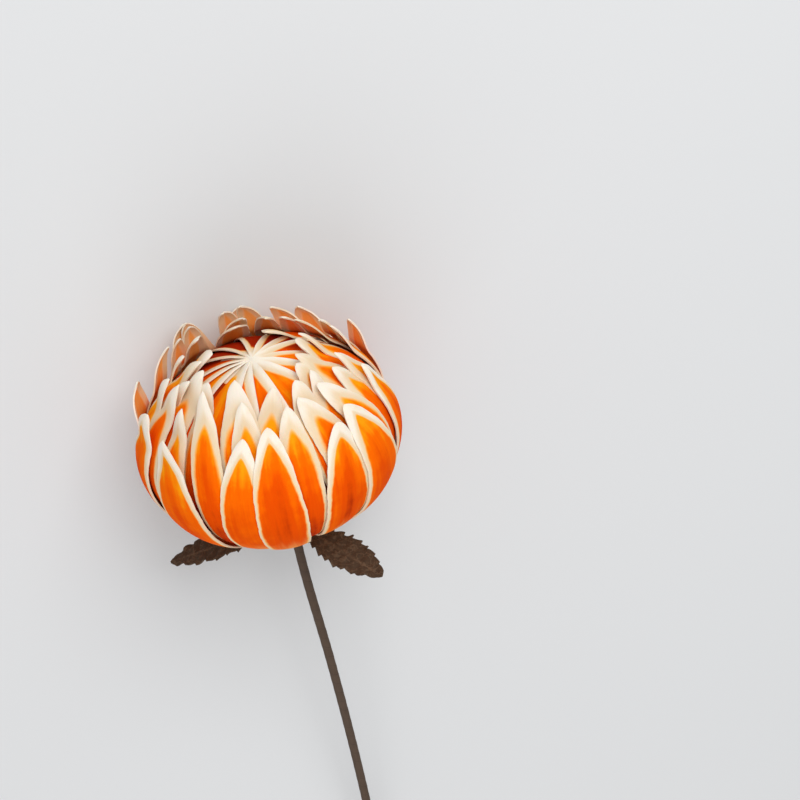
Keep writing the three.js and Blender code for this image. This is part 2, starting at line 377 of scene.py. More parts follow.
class Effect(Enum):
    """A surface effect that several finishes share, as a node group with the value that it puts out."""

    MOTTLE = "mottle"
    STREAKS = "streaks"
    WEAVE = "weave"

    def tree(self) -> bpy.types.NodeTree:
        """Returns the effect's node group, which is built the first time."""
        if self.value in bpy.data.node_groups:
            return bpy.data.node_groups[self.value]
        tree = bpy.data.node_groups.new(self.value, "ShaderNodeTree")
        recipe = Recipe(tree)
        for name, kind in (("Place", "Vector"), ("Seed", "Float"), ("Scale", "Float")):
            tree.interface.new_socket(name, in_out="INPUT", socket_type=f"NodeSocket{kind}")
        tree.interface.new_socket("Value", in_out="OUTPUT", socket_type="NodeSocketFloat")
        given = recipe.add("NodeGroupInput").outputs
        place = given["Place"]
        if self is Effect.WEAVE:
            recipe.feed(recipe.add("NodeGroupOutput").inputs["Value"], self.weave(recipe, given))
            return tree
        if self is Effect.STREAKS:
            stretch = recipe.add("ShaderNodeMapping")
            recipe.feed(stretch.inputs["Vector"], place)
            stretch.inputs["Scale"].default_value = (1.0, 0.07, 1.0)
            place = stretch.outputs["Vector"]
        noise = recipe.add("ShaderNodeTexNoise", noise_dimensions="4D")
        noise.inputs["Detail"].default_value = 3.0
        for name, value in (("Vector", place), ("W", given["Seed"]), ("Scale", given["Scale"])):
            recipe.feed(noise.inputs[name], value)
        recipe.feed(recipe.add("NodeGroupOutput").inputs["Value"], noise.outputs["Fac"])
        return tree

    @staticmethod
    def weave(recipe: Recipe, given: bpy.types.NodeOutputs) -> Socket:
        """Returns the height of threads that cross over and under each other."""
        parts = recipe.add("ShaderNodeSeparateXYZ")
        recipe.feed(parts.inputs[0], given["Place"])
        waves = []
        for name in ("X", "Y"):
            pace = recipe.math("MULTIPLY", given["Scale"], math.pi)
            waves.append(recipe.math("SINE", recipe.math("MULTIPLY", parts.outputs[name], pace)))
        return recipe.math("MULTIPLY_ADD", recipe.math("MULTIPLY", *waves), 0.5, 0.5)


# ---- Finishes ----
@dataclass(frozen=True)
class Finish:
    """What every finish has: a name, a slot and the surface's roughness."""

    name: str
    slot: str
    roughness: float
    specular: float

    def start(self) -> tuple[Material, Recipe, bpy.types.Node]:
        """Starts the material.

        Returns:
            The material, its recipe and its shader.
        """
        material = bpy.data.materials.new(self.name)
        material.use_nodes = True
        recipe = Recipe(material.node_tree)
        shader = material.node_tree.nodes["Principled BSDF"]
        shader.inputs["Roughness"].default_value = self.roughness
        shader.inputs["Specular IOR Level"].default_value = self.specular
        return material, recipe, shader


@dataclass(frozen=True)
class PetalFinish(Finish):
    """Dyed sheet: cream at the rim of a petal, orange at its heart."""

    dyed: str  # the attribute that says how far inside the dyed part a point is
    cream: Colour
    ecru: Colour
    fringe: Colour
    yellow: Colour
    orange: Colour
    red: Colour
    stain_and_shade_red: Colour  # the darkest red: painted shade low between the petals, on the core and at the back of the star, which the darkest smudges reach too
    threads: float  # in a centimetre

    def build(self) -> Material:
        """Builds the material and returns it."""
        material, recipe, shader = self.start()
        place = recipe.sheet_place()
        tone = recipe.mark("tone")
        seed = recipe.math("MULTIPLY", tone, 37.0)
        cloud, flow, grain = (
            recipe.math("SUBTRACT", recipe.group(effect.tree(), Place=place, Seed=seed, Scale=scale), 0.5)
            for effect, scale in ((Effect.MOTTLE, 2.2), (Effect.STREAKS, 4.0), (Effect.STREAKS, 24.0))
        )
        weave = recipe.group(Effect.WEAVE.tree(), Place=place, Seed=seed, Scale=self.threads)
        heart = recipe.math("MULTIPLY_ADD", flow, 1.1, recipe.mark(self.dyed))
        warmth = recipe.math("MULTIPLY_ADD", flow, 1.1, recipe.mark("warmth"))
        warmth = recipe.math("MULTIPLY_ADD", cloud, 0.5, warmth)
        warm = recipe.mix(recipe.step(warmth, 0.0, 0.5), self.red, self.orange)
        warm = recipe.mix(recipe.step(warmth, 0.5, 1.0), warm, self.yellow)
        # Below a warmth of -0.1 the colour darkens to the painted shade red.
        warm = recipe.mix(recipe.step(warmth, -0.8, -0.1), self.stain_and_shade_red, warm)
        blush = recipe.math("MULTIPLY", recipe.step(cloud, 0.0, 0.3), 0.4)
        edge = recipe.mix(recipe.step(heart, -3.6, -0.8), recipe.mix(blush, self.cream, self.ecru), self.ecru)
        edge = recipe.mix(recipe.step(heart, -0.7, 0.15), edge, self.fringe)
        colour = recipe.mix(recipe.step(heart, -0.25, 0.6), edge, warm)
        shade = recipe.math("MULTIPLY_ADD", grain, 0.12, 0.97)
        shade = recipe.math("MULTIPLY_ADD", weave, 0.05, shade)
        recipe.feed(shader.inputs["Base Color"], recipe.mix(1.0, colour, self.grey(recipe, shade), "MULTIPLY"))
        height = recipe.math("MULTIPLY_ADD", weave, 0.5, grain)
        recipe.feed(shader.inputs["Normal"], recipe.bump(height, 0.5, 0.1 * MM))
        shader.inputs["Subsurface Weight"].default_value = 0.06
        shader.inputs["Subsurface Scale"].default_value = 1.2 * MM
        return material

    @staticmethod
    def grey(recipe: Recipe, value: Socket) -> Socket:
        """Returns a grey of this value."""
        node = recipe.add("ShaderNodeCombineColor")
        for socket in node.inputs:
            recipe.feed(socket, value)
        return node.outputs[0]


@dataclass(frozen=True)
class LeafFinish(Finish):
    """Creased dark cloth with paler creases."""

    dark: Colour
    pale: Colour

    def build(self) -> Material:
        """Builds the material and returns it."""
        material, recipe, shader = self.start()
        place = recipe.sheet_place()
        cloud = recipe.group(Effect.MOTTLE.tree(), Place=place, Seed=3.0, Scale=3.0)
        fine = recipe.group(Effect.MOTTLE.tree(), Place=place, Seed=8.0, Scale=22.0)
        crease = recipe.math("ABSOLUTE", recipe.math("SUBTRACT", cloud, 0.5))
        crease = recipe.step(crease, 0.05, 0.0)
        share = recipe.math("ADD", recipe.math("MULTIPLY", crease, 0.5), recipe.math("MULTIPLY", fine, 0.5))
        vein = recipe.mark("vein")
        share = recipe.math("ADD", share, recipe.math("MULTIPLY", vein, 0.35))
        recipe.feed(shader.inputs["Base Color"], recipe.mix(share, self.dark, self.pale))
        height = recipe.math("ADD", recipe.math("MULTIPLY", crease, 0.7), recipe.math("MULTIPLY", fine, 0.5))
        height = recipe.math("ADD", height, vein)
        recipe.feed(shader.inputs["Normal"], recipe.bump(height, 0.7, 0.25 * MM))
        return material


@dataclass(frozen=True)
class WrapFinish(Finish):
    """Crepe tape, wound on at a slant."""

    dark: Colour
    pale: Colour
    turns: float

    def build(self) -> Material:
        """Builds the material and returns it."""
        material, recipe, shader = self.start()
        place = recipe.sheet_place()
        fibre = recipe.group(Effect.STREAKS.tree(), Place=place, Seed=1.0, Scale=30.0)
        cloud = recipe.group(Effect.MOTTLE.tree(), Place=place, Seed=2.0, Scale=2.0)
        parts = recipe.add("ShaderNodeSeparateXYZ")
        recipe.feed(parts.inputs[0], place)
        slant = recipe.math("ADD", recipe.math("MULTIPLY", parts.outputs["Y"], self.turns), parts.outputs["X"])
        lap = recipe.math("FRACT", slant)
        share = recipe.math("ADD", recipe.math("MULTIPLY", cloud, 0.5), recipe.math("MULTIPLY", fibre, 0.5))
        share = recipe.math("SUBTRACT", share, recipe.math("MULTIPLY", recipe.step(lap, 0.9, 1.0), 0.3))
        recipe.feed(shader.inputs["Base Color"], recipe.mix(share, self.dark, self.pale))
        height = recipe.math("ADD", recipe.math("MULTIPLY", lap, 0.6), recipe.math("MULTIPLY", fibre, 0.4))
        recipe.feed(shader.inputs["Normal"], recipe.bump(height, 0.6, 0.12 * MM))
        return material


PETAL_FACE = PetalFinish(
    name="petal_face", slot="petal_sheet", roughness=0.8, specular=0.02,
    dyed="heart", cream=(0.92, 0.83, 0.71), ecru=(0.83, 0.65, 0.43),
    fringe=(0.97, 0.49, 0.13), yellow=(1.0, 0.35, 0.005),
    orange=(0.96, 0.140, 0.0005), red=(0.81, 0.078, 0.0004), stain_and_shade_red=(0.36, 0.016, 0.001),
    threads=28,
)
# The inner face: its tan margins are painted shade, and its brighter orange and red are painted light shining
# through the sheet.
PETAL_BACK_PAINTED_LIGHT = PetalFinish(
    name="petal_back", slot="petal_sheet", roughness=0.85, specular=0.02,
    dyed="rim", cream=(0.86, 0.70, 0.48), ecru=(0.84, 0.60, 0.36),
    fringe=(0.96, 0.60, 0.32), yellow=(1.0, 0.44, 0.11),
    orange=(1.0, 0.30, 0.045), red=(0.94, 0.20, 0.02), stain_and_shade_red=(0.45, 0.06, 0.01),
    threads=28,
)
# The core shows only in the gaps between the petals: its yellow, orange and red are darkened as painted shade.
CORE_DYE_PAINTED_SHADE = replace(
    PETAL_FACE, name="core_dye",
    yellow=(0.80, 0.13, 0.004), orange=(0.66, 0.075, 0.002), red=(0.48, 0.040, 0.002),
)
LEAF_CLOTH = LeafFinish(
    name="leaf_cloth", slot="leaf_cloth", roughness=0.8, specular=0.15,
    dark=(0.042, 0.023, 0.013), pale=(0.135, 0.086, 0.052),
)
STEM_WRAP = WrapFinish(
    name="stem_wrap", slot="stem_wrap", roughness=0.75, specular=0.3,
    dark=(0.044, 0.027, 0.018), pale=(0.120, 0.078, 0.052), turns=2.2,
)


# ---- Bloom ----
@dataclass(frozen=True)
class Petal:
    """Where one petal stands and how it differs from its neighbours."""

    azimuth: float
    tip: float
    half_width: float
    bend: float  # how far its tip bends aside
    sunk: float
    tone: float
    margin: float
    tip_margin: float
    tip_power: float
    twist: float
    lift: float
    smudge: float


@dataclass(frozen=True)
class Whorl:
    """A ring of petals that stand at one depth in the ball."""

    name: str
    count: int
    seed: int
    phase: float
    root: float
    tip: float
    tip_jitter: float
    half_width: float
    depth: float
    tip_depth: float
    opening: float  # how far the tips stand out on the open side
    margin: float
    tip_margin: float
    softness: float  # of the dye's rim at the tip, in millimetres
    warmth: float
    tip_power: float
    widest: float  # where a petal is widest, as a share of its length
    lower_dye: float = 3  # how deep the dye is at the lower ends, as for the heart
    lower_painted_shade: float = 0  # how much redder the lower ends are: painted shade deep between the petals
    resting: int = -1  # the petal that lies right under the head
    resting_tip: float = 35
    azimuth_jitter: float = 10
    arc: float = 360
    width_jitter: float = 0.18
    bend: float = 6 * MM
    sublayer_step: float = 0.8 * MM
    margin_jitter: float = 0.2
    margin_dip: float = 0.3  # how much the cream tips grow towards dip_azimuth
    dip_azimuth: float = -35
    power_jitter: float = 0.08
    twist: float = 0.25 * MM
    looks_offset: int = 7919  # between the seeds of the two streams

    def petals(self) -> list[Petal]:
        """Returns the petals: where they stand follows one stream, and their looks another."""
        place = Stream(self.seed)
        looks = Stream(self.seed + self.looks_offset)
        petals = []
        for number in range(self.count):
            rests = number == self.resting
            azimuth = self.phase + self.arc / self.count * number + place.swing(self.azimuth_jitter)
            tip = self.tip + place.swing(self.tip_jitter)
            dipped = 1 + self.margin_dip * math.cos(math.radians(azimuth - self.dip_azimuth))
            petals.append(
                Petal(
                    azimuth=180 if rests else azimuth,
                    tip=self.resting_tip if rests else tip,
                    half_width=self.half_width * (1 + place.swing(self.width_jitter)),
                    bend=place.swing(self.bend),
                    sunk=number % 2 * self.sublayer_step,
                    tone=looks.share(),
                    margin=self.margin * (1 + looks.swing(self.margin_jitter)),
                    tip_margin=self.tip_margin * dipped * (1 + looks.swing(self.margin_jitter)),
                    tip_power=self.tip_power + looks.swing(self.power_jitter),
                    twist=looks.swing(self.twist),
                    lift=looks.share(),
                    smudge=looks.share(),
                )
            )
        return petals


WHORLS = (
    Whorl("petals_outer", 13, 320477647, -54, -80, 38, 6, 8.2 * MM, 0, -1.2 * MM, 6 * MM,
          margin=1.15, tip_margin=4.3, softness=0.9, warmth=0.20, tip_power=0.60, widest=0.58, resting=8,
          lower_dye=0.25, azimuth_jitter=12, bend=6.5 * MM),
    Whorl("petals_second", 18, 2089450248, -33, -68, 54.5, 7, 6.6 * MM, 1.8 * MM, 0.2 * MM, 5 * MM,
          margin=1.3, tip_margin=8.0, softness=2.2, warmth=0.36, tip_power=0.66, widest=0.67, lower_painted_shade=0.9,
          azimuth_jitter=8, bend=7 * MM),
    Whorl("petals_third", 16, 488773161, -19, -42, 64, 6, 6.9 * MM, 3.6 * MM, 0.6 * MM, 2.5 * MM,
          margin=1.3, tip_margin=8.5, softness=3.0, warmth=0.40, tip_power=0.64, widest=0.67, lower_painted_shade=0.9,
          bend=5.5 * MM),
    Whorl("petals_inner", 6, 4737158, 51, 12, 71, 6, 6.2 * MM, 5.0 * MM, 1.6 * MM, 1 * MM,
          margin=1.2, tip_margin=5.0, softness=1.8, warmth=0.42, tip_power=0.60, widest=0.62,
          azimuth_jitter=13, arc=302, bend=2 * MM, sublayer_step=0),
)


@dataclass(frozen=True)
class PetalDye:
    """How the dye lies on a petal: spans are shares of its length, and sizes are in millimetres."""

    tipward: Span = (0.5, 0.95)  # over which the rims change to those of the tip
    tip_widening: float = 0.6
    least_width: float = 0.4
    start: float = 0.5  # where the heart begins to narrow
    point: float = 5  # how late it narrows
    tip_slope: float = 2.5
    side_softness: float = 0.6
    depth: float = 3
    lower: Span = (0.3, 1)  # over which the lower end's dye gives way
    root: Span = (0.05, 0.2)
    root_fade: float = 0.6
    rim_slope: float = 0.7
    rim_inset: float = 2.3
    rim_softness: float = 1.2
    smudge_width: float = 0.4
    smudge_start: Span = (0.3, 0.55)
    smudge_end: Span = (0.75, 0.95)
    smudge_shade: float = 0.55
    tone_spread: float = 0.25
    glow: float = 0.75
    glow_span: Span = (0.58, 1)
    painted_shade_end: Span = (0.3, 0.68)  # over which the painted shade of the redder lower end gives way

    def marks(
        self, u: Array, s: Array, half_width: Array, length: float, petal: Petal, whorl: Whorl
    ) -> dict[str, Array]:
        """Works out what the finishes read at each point of a petal.

        Args:
            u: How far across the petal, from -1 to 1.
            s: How far along the petal, from 0 to 1.
            half_width: Half the width of the petal here, in millimetres.
            length: The length of the petal, in millimetres.
            petal: Its place and looks.
            whorl: Its whorl.

        Returns:
            How far a point is inside the dyed heart and inside the edge, in widths of the soft rims, the
            tone, and the warmth, from red below 0 to yellow at 1, which also holds the painted shade of the
            lower ends.
        """
        tipward = ease(s, *self.tipward)
        inner = np.maximum(half_width - petal.margin * (1 + self.tip_widening * tipward), self.least_width)
        end = 1 - petal.tip_margin / length
        on = np.clip((s - self.start) / (end - self.start), 0, None) ** self.point
        far = np.sqrt((u * half_width / inner) ** 2 + on) + 1e-6
        size = blend(inner, (end - self.start) * length / self.tip_slope, np.clip(on / far**2, 0, 1))
        inside = (1 - far) * size / blend(self.side_softness, whorl.softness, tipward)
        faded = blend(whorl.lower_dye, self.depth, ease(s, *self.lower))
        faded = faded - self.root_fade * ease(-s, -self.root[1], -self.root[0])
        rim = np.minimum((1 - np.abs(u)) * half_width, (1 - s) * length * self.rim_slope)
        smudge = petal.smudge * np.exp(-((u / self.smudge_width) ** 2)) * ease(s, *self.smudge_start)
        smudge = smudge * (1 - ease(s, *self.smudge_end))
        warmth = whorl.warmth + self.tone_spread * (petal.tone - 0.5) + self.glow * ease(s, *self.glow_span)
        # Painted shade: the lower ends, deep between the petals, are redder.
        warmth = warmth - self.smudge_shade * smudge - whorl.lower_painted_shade * (1 - ease(s, *self.painted_shade_end))
        return {
            "heart": np.minimum(inside, faded),
            "rim": (rim - self.rim_inset) / self.rim_softness,
            "tone": petal.tone,
            "warmth": warmth,
        }


@dataclass(frozen=True)
class Star:
    """The star at the apex, where each ray lies over its neighbour. Dye sizes are in millimetres."""

    ball: Ball
    thickness: float = 0.4 * MM
    count: int = 15
    seed: int = 5000011
    root: float = 14
    tip: float = 89.9
    overlap: float = 1.75
    azimuth_jitter: float = 5
    lean: float = 5  # how far a root may stand aside
    bow: float = 3
    root_sink: float = 1.4 * MM
    climb: float = 0.2  # the share of its length over which it climbs out of the core
    tilt: float = 1.1 * MM
    tilt_slope: float = 0.16
    tilt_end: float = 0.96
    crest: float = 0.55 * MM
    tip_crest: float = 1 * MM
    crest_start: float = 0.88
    cup: float = 0.2 * MM
    least_tip_margin: float = 4.5
    most_tip_margin: float = 9
    margin: float = 1.6
    front_margin: float = 1.7  # more of it on the front side
    root_margin: float = 0.6
    margin_span: Span = (0.3, 0.8)
    side_softness: float = 0.7
    tip_softness: float = 1.6
    broad_azimuth: float = 70  # the ray here is dyed nearly to its edge
    broad_reach: float = 14
    broad_glow: float = 0.3
    warmth: float = 0.42
    tone_spread: float = 0.4
    glow: float = 0.3
    glow_span: Span = (0.4, 0.9)
    # Painted shade: the rays turn darker red on the back side, most towards their roots.
    shade: float = 0.7
    root_painted_shade: float = 1.3
    painted_shade_end: Span = (0.72, 0.93)
    painted_shade_side: Span = (-0.4, 0.8)

    def ray(self, sheet: Sheet, azimuth: float, looks: Stream, finishes: list[Material]) -> Piece:
        """Cuts one ray of the star.

        Args:
            sheet: The sheet that it is cut from.
            azimuth: Where it stands.
            looks: The stream that its looks are drawn from.
            finishes: The finishes of its outer and its inner face.

        Returns:
            The ray.
        """
        u = sheet.u
        s = sheet.s
        tone = looks.share()
        lean = looks.swing(self.lean)
        bow = looks.swing(self.bow)
        tip_margin = blend(self.least_tip_margin, self.most_tip_margin, looks.share())
        latitude = blend(self.root, self.tip, s)
        half_sector = 180 / self.count * self.overlap
        girth = self.ball.core_radius * np.cos(np.radians(latitude))
        tilt = np.minimum(self.tilt, self.tilt_slope * girth) * (1 - ease(s, self.tilt_end, 1))
        crest = blend(self.crest, self.tip_crest, ease(s, self.crest_start, 1))
        rise = blend(-self.root_sink, crest, ease(s, 0, self.climb)) + tilt * u - self.cup * u * u * (1 - s)
        turn = azimuth + lean * (1 - s) + bow * np.sin(np.pi * s) + half_sector * u
        points = self.ball.on_core(latitude, turn, rise)
        half_width = girth * math.radians(half_sector)
        broad = math.exp(-(((azimuth - self.broad_azimuth) / self.broad_reach) ** 2))
        frontal = 0.5 + 0.5 * math.cos(math.radians(azimuth))
        margin = self.margin + self.front_margin * frontal * (1 - broad)
        margin = margin * blend(self.root_margin, 1, ease(s, *self.margin_span))
        edge = (1 - u) * half_width / MM - margin
        heart = np.minimum(edge / self.side_softness, (girth / MM - tip_margin) / self.tip_softness)
        # Painted shade on the back side of the star, deepest towards the roots.
        shade = self.shade + self.root_painted_shade * (1 - ease(s, *self.painted_shade_end))
        shade = shade * ease(-np.cos(np.radians(turn)), *self.painted_shade_side)
        warmth = self.warmth + self.tone_spread * (tone - 0.5) + self.glow * ease(s, *self.glow_span)
        warmth = warmth + self.broad_glow * broad - shade
        marks = {"heart": heart, "rim": heart, "tone": tone, "warmth": warmth}
        along = s * self.ball.core_radius * math.radians(self.tip - self.root)
        return sheet.cut(self.ball.lay_down(points), self.thickness, u * half_width, along, marks, finishes)

    def build(self, sheet: Sheet, finishes: list[Material]) -> list[Piece]:
        """Builds the rays.

        Args:
            sheet: The sheet that they are cut from.
            finishes: The finishes of their outer and their inner faces.

        Returns:
            The rays.
        """
        looks = Stream(self.seed)
        rays = []
        for number in range(self.count):
            azimuth = 360 / self.count * number + looks.swing(self.azimuth_jitter)
            rays.append(self.ray(sheet, azimuth, looks, finishes))
        return rays


@dataclass
class Bloom:
    """The head: a core, the whorls of petals and the star of rays at the apex."""

    ball: Ball
    dye: PetalDye = PetalDye()
    thickness: float = 0.5 * MM
    cup: float = 0.45 * MM
    root_share: float = 0.27
    tip_half_width: float = 0.12 * MM
    root_sink: float = 1.4 * MM
    root_rise: float = 0.25
    bend_start: float = 0.45
    lift_start: float = 14
    lift_jitter: float = 1 * MM
    open_azimuth: float = -160  # the side on which the petals stand open
    open_lift_start: float = 10
    open_power: float = 1.5
    lower_power: float = 1.25  # of the outline below its widest place
    tip_crowding: float = 1.35  # how much closer a petal's rows lie towards its tip
    twist_span: Span = (0.3, 0.8)
    length_share: float = 0.88  # of a petal's arc, as the length of its dye and streaks
    # Of a petal's edge: the depth, and the phase for each of length, tone and width.
    waves: tuple[tuple[float, ...], ...] = ((0.016, 23, 40, 2), (0.010, 61, 90, -3), (0.008, 149, 70, 1))
    core_swell: float = 0.09  # how much wider the core is below its middle
    swell_start: float = 0.35
    swell_end: Span = (0.5, 0.8)
    core_pole: float = 0.95  # above this it is cream
    base_span: Span = (0.78, 0.86)  # over which it takes the dye of the lower ends
    core_depth: float = 6
    pole_depth: float = -3
    # Low, so that the core is red, a little darkened towards the painted shade red.
    core_warmth: float = -0.2

    def outline(self, s: Array, widest: float, power: float) -> Array:
        """Returns half the width of a petal along it, as a share of its greatest half width."""
        lower = blend(self.root_share, 1, np.sin(np.pi / 2 * np.clip(s / widest, 0, 1)) ** self.lower_power)
        upper = 1 - np.clip((s - widest) / (1 - widest), 0, 1) ** 2
        return np.where(s < widest, lower, upper**power)

    def petal(self, sheet: Sheet, whorl: Whorl, petal: Petal, finishes: list[Material]) -> Piece:
        """Cuts one petal: it climbs out of the core, follows the ball and lifts at its tip.

        Args:
            sheet: The sheet that it is cut from.
            whorl: Its whorl.
            petal: Its place and looks.
            finishes: The finishes of its outer and its inner face.

        Returns:
            The petal.
        """
        u = sheet.u
        s = 1 - (1 - sheet.s) ** self.tip_crowding
        latitude = blend(whorl.root, petal.tip, s)
        half_width = petal.half_width * self.outline(s, whorl.widest, petal.tip_power)
        half_width = np.maximum(self.tip_half_width, half_width * self.nicks(u, s, petal.tone))
        girth = self.ball.radius * np.cos(np.radians(latitude))
        bent = petal.bend * np.clip((s - self.bend_start) / (1 - self.bend_start), 0, 1) ** 2
        azimuth = petal.azimuth + np.degrees((u * half_width + bent) / girth)
        opened = (1 + math.cos(math.radians(petal.azimuth - self.open_azimuth))) / 2
        opened = opened**self.open_power
        lift = ease(latitude, petal.tip - self.lift_start - self.open_lift_start * opened, petal.tip)
        reach = whorl.tip_depth - petal.lift * self.lift_jitter - whorl.opening * opened
        depth = blend(whorl.depth, reach, lift) + petal.sunk
        depth = depth + self.cup * u * u + petal.twist * u * ease(s, *self.twist_span)
        root = self.ball.on_core(latitude, azimuth, np.full_like(u, -self.root_sink))
        top = self.ball.on_ball(latitude, azimuth, depth)
        climb = ease(s, 0, self.root_rise)[:, None]
        points = self.ball.press(blend(root, top, climb), 0)
        length = self.ball.radius * math.radians(petal.tip - whorl.root) * self.length_share
        marks = self.dye.marks(u, s, half_width / MM, length / MM, petal, whorl)
        points = self.ball.lay_down(points)
        return sheet.cut(points, self.thickness, u * half_width, s * length, marks, finishes)

    def nicks(self, u: Array, s: Array, tone: float) -> Array:
        """Returns how the width of a petal wavers along it, as a factor."""
        return 1 + sum(depth * np.sin(a * s + b * tone + c * u) for depth, a, b, c in self.waves)

    def core(self, finish: Material) -> Piece:
        """Models the core.

        Args:
            finish: Its finish.

        Returns:
            The core.
        """
        select()
        bpy.ops.mesh.primitive_uv_sphere_add(segments=64, ring_count=40, radius=1)
        core = bpy.context.active_object
        core.name = "core"
        mesh = core.data
        unit = read_points(mesh)
        half_height = np.where(unit[:, 2] > 0, self.ball.core_top, self.ball.core_base)
        below = -unit[:, 2]
        swell = ease(below, 0, self.swell_start) * (1 - ease(below, *self.swell_end))
        width = self.ball.core_radius * (1 + self.core_swell * swell)
        points = unit * np.stack((width, width, half_height), axis=-1)
        write_points(mesh, self.ball.lay_down(points))
        dyed = blend(self.core_depth, WHORLS[0].lower_dye, ease(below, *self.base_span))
        dyed = np.where(below < -self.core_pole, self.pole_depth, dyed)
        for name, value in (("heart", dyed), ("rim", dyed), ("tone", 0.5), ("warmth", self.core_warmth)):
            write_mark(mesh, name, value)
        mesh.materials.append(finish)
        return core

    def build(self) -> list[Piece]:
        """Builds the whole head and returns its pieces."""
        finishes = [PETAL_FACE.build(), PETAL_BACK_PAINTED_LIGHT.build()]
        sheet = Sheet(18, 64)
        pieces = [self.core(CORE_DYE_PAINTED_SHADE.build())]
        for whorl in WHORLS:
            petals = [self.petal(sheet, whorl, petal, finishes) for petal in whorl.petals()]
            pieces.append(join(petals, whorl.name))
        pieces.append(join(Star(self.ball).build(sheet, finishes), "star_rays"))
        sheet.put_away()
        for piece in pieces:
            finish_mesh(piece)
            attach(piece, "root")
            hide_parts("bloom")
        return pieces


# ---- Calyx ----
@dataclass(frozen=True)
class Leaf:
    """One leaf: where it points, its size and how far its tip hangs back along the stem."""

    azimuth: float
    length: float
    half_width: float
    droop: float


@dataclass
class Calyx:
    """The collar round the stem and its toothed leaves."""

    ball: Ball
    thickness: float = 0.5 * MM
    teeth: int = 10
    tooth_depth: float = 0.2
    tooth_lean: float = 0.35
    tooth_rake: float = 0.55
    tooth_start: Span = (0.5, 1)  # where the teeth begin, in teeth
    tooth_end: float = 0.6
    keel: float = 1 * MM
    root_half_width: float = 1.1 * MM
    tip_half_width: float = 0.2 * MM
    widest_power: float = 1.25
    fullness: float = 0.7
    wave: float = 0.35 * MM  # of the edge
    ripple: float = 0.25 * MM  # between the veins
    droop_power: float = 0.8
    root_gap: float = 1 * MM
    rib: float = 0.12
    vein_rake: float = 1.3
    vein_width: float = 0.16
    vein_strength: float = 0.6
    collar_radius: float = 5.2 * MM
    collar_height: float = 6 * MM
    collar_bevel: float = 1.1 * MM
    collar_foot: float = 0.62  # the width of its lower end, as a share of its width
    collar_widest: float = 0.7
    leaf_start: float = 0.8  # how far down the collar the leaves leave it
    clearance: float = 0.3 * MM
    leaves: tuple[Leaf, ...] = (
        Leaf(37, 39 * MM, 7.6 * MM, 7 * MM),
        Leaf(122, 38 * MM, 7.4 * MM, 10 * MM),
        Leaf(-168, 37 * MM, 7.2 * MM, 22 * MM),
        Leaf(-94, 42 * MM, 8.2 * MM, 7.5 * MM),
    )

    @property
    def top(self) -> float:
        """The height of the collar's top in the head's frame."""
        return -self.ball.core_base - self.clearance

    def leaf(self, sheet: Sheet, leaf: Leaf, finish: Material) -> Piece:
        """Cuts one leaf: keeled, toothed and creased, hanging back along the stem.

        Args:
            sheet: The sheet that it is cut from.
            leaf: Its size and place.
            finish: Its finish.

        Returns:
            The leaf.
        """
        u = sheet.u
        s = sheet.s
        step = 1 / (self.teeth + 1)
        envelope = leaf.half_width * np.clip(np.sin(np.pi * s**self.widest_power), 0, 1) ** self.fullness
        saw = np.mod(s / step + self.tooth_lean + self.tooth_rake * (1 - np.abs(u)), 1)
        inside = ease(s, step * self.tooth_start[0], step * self.tooth_start[1])
        inside = inside * (1 - ease(s, 1 - step * self.tooth_end, 1))
        cut = 1 - self.tooth_depth * (1 - saw) * inside * np.abs(u) ** 4
        half_width = np.maximum(blend(self.root_half_width, self.tip_half_width, s), envelope * cut)
        turn = math.radians(leaf.azimuth)
        reach = math.sqrt(leaf.length**2 - leaf.droop**2) * s
        crinkle = self.wave * np.sin(s * 34 + u * 3 + leaf.azimuth) * np.abs(u) ** 1.5 * inside
        crinkle += self.ripple * np.sin(s * 61 + leaf.azimuth * 2) * np.sin(u * 5) * inside
        height = self.top - self.leaf_start * self.collar_height - leaf.droop * s**self.droop_power + crinkle
        height = height + self.keel * np.abs(u) * np.sin(np.pi * s)
        out = self.ball.stem_radius + self.root_gap + reach
        side = u * half_width
        x = out * math.cos(turn) - side * math.sin(turn)
        y = out * math.sin(turn) + side * math.cos(turn)
        points = np.stack((x, y, height), axis=-1)
        rib = 1 - ease(np.abs(u), 0, self.rib)
        branch = np.abs(np.mod(s / step - np.abs(u) * self.vein_rake, 1) - 0.5)
        vein = np.maximum(rib, (1 - ease(branch, 0, self.vein_width)) * self.vein_strength)
        return sheet.cut(self.ball.lay_down(points), self.thickness, side, reach, {"vein": vein}, [finish])

    def collar(self, finish: Material) -> Piece:
        """Models the collar: a wound knob that narrows to the stem.

        Args:
            finish: Its finish.

        Returns:
            The collar.
        """
        select()
        bpy.ops.mesh.primitive_cylinder_add(vertices=48, radius=self.collar_radius, depth=self.collar_height)
        collar = bpy.context.active_object
        collar.name = "collar"
        bpy.ops.object.mode_set(mode="EDIT")
        bpy.ops.mesh.select_all(action="SELECT")
        bpy.ops.mesh.bevel(offset=self.collar_bevel, segments=5, affect="EDGES")
        bpy.ops.object.mode_set(mode="OBJECT")
        mesh = collar.data
        points = read_points(mesh)
        share = points[:, 2] / self.collar_height + 0.5
        points[:, :2] *= blend(self.collar_foot, 1, ease(share, 0, self.collar_widest))[:, None]
        points[:, 2] += self.top - self.collar_height / 2
        write_points(mesh, self.ball.lay_down(points))
        mesh.materials.append(finish)
        return collar

    def build(self) -> list[Piece]:
        """Builds the collar and its leaves and returns them."""
        sheet = Sheet(14, 96)
        cloth = LEAF_CLOTH.build()
        leaves = [self.leaf(sheet, leaf, cloth) for leaf in self.leaves]
        sheet.put_away()
        pieces = [join(leaves, "leaves"), self.collar(STEM_WRAP.build())]
        for piece in pieces:
            finish_mesh(piece)
            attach(piece, "root")
            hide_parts("calyx")
        return pieces


